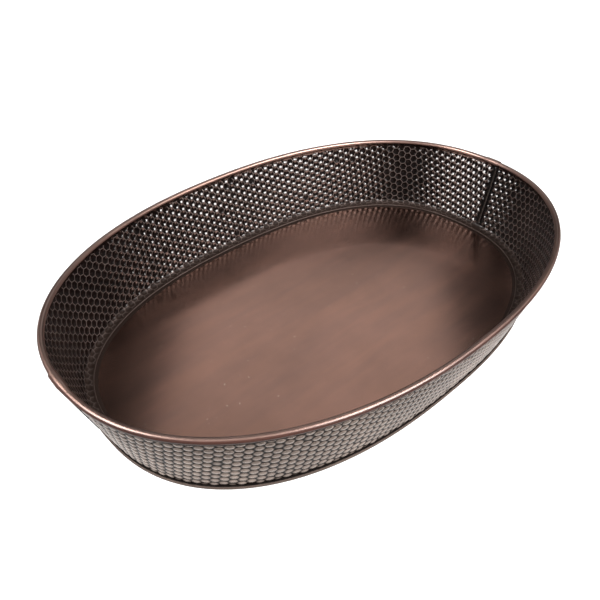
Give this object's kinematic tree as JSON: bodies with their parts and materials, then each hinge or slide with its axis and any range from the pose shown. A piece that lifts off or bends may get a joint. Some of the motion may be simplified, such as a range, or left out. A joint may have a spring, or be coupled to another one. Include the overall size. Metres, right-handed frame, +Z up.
{
  "type": "oval sheet metal serving tray",
  "caption": "Oval flared serving tray of embossed sheet metal with a wired rim, lock-seamed wall panels and a flat hemmed base.",
  "frame": {"origin": "middle of the underside, at the bottom centre of the bounding box", "axes": "+X along the tray's length, +Y across it, +Z up; a lock seam lies at each end, on X"},
  "size_m": [0.5064, 0.3392, 0.0754],
  "materials": {
    "embossed_wall": "dark copper-bronze lacquer over embossed sheet, semi-gloss",
    "base": "satin copper-bronze, mottled and lightly streaked",
    "wire": "plain drawn steel wire, hidden inside the rim"
  },
  "bodies": {
    "root": {"rear_wall_panel": "embossed_wall", "front_wall_panel": "embossed_wall", "base_sheet": "base", "rim_wire": "wire"}
  },
  "joints": []
}
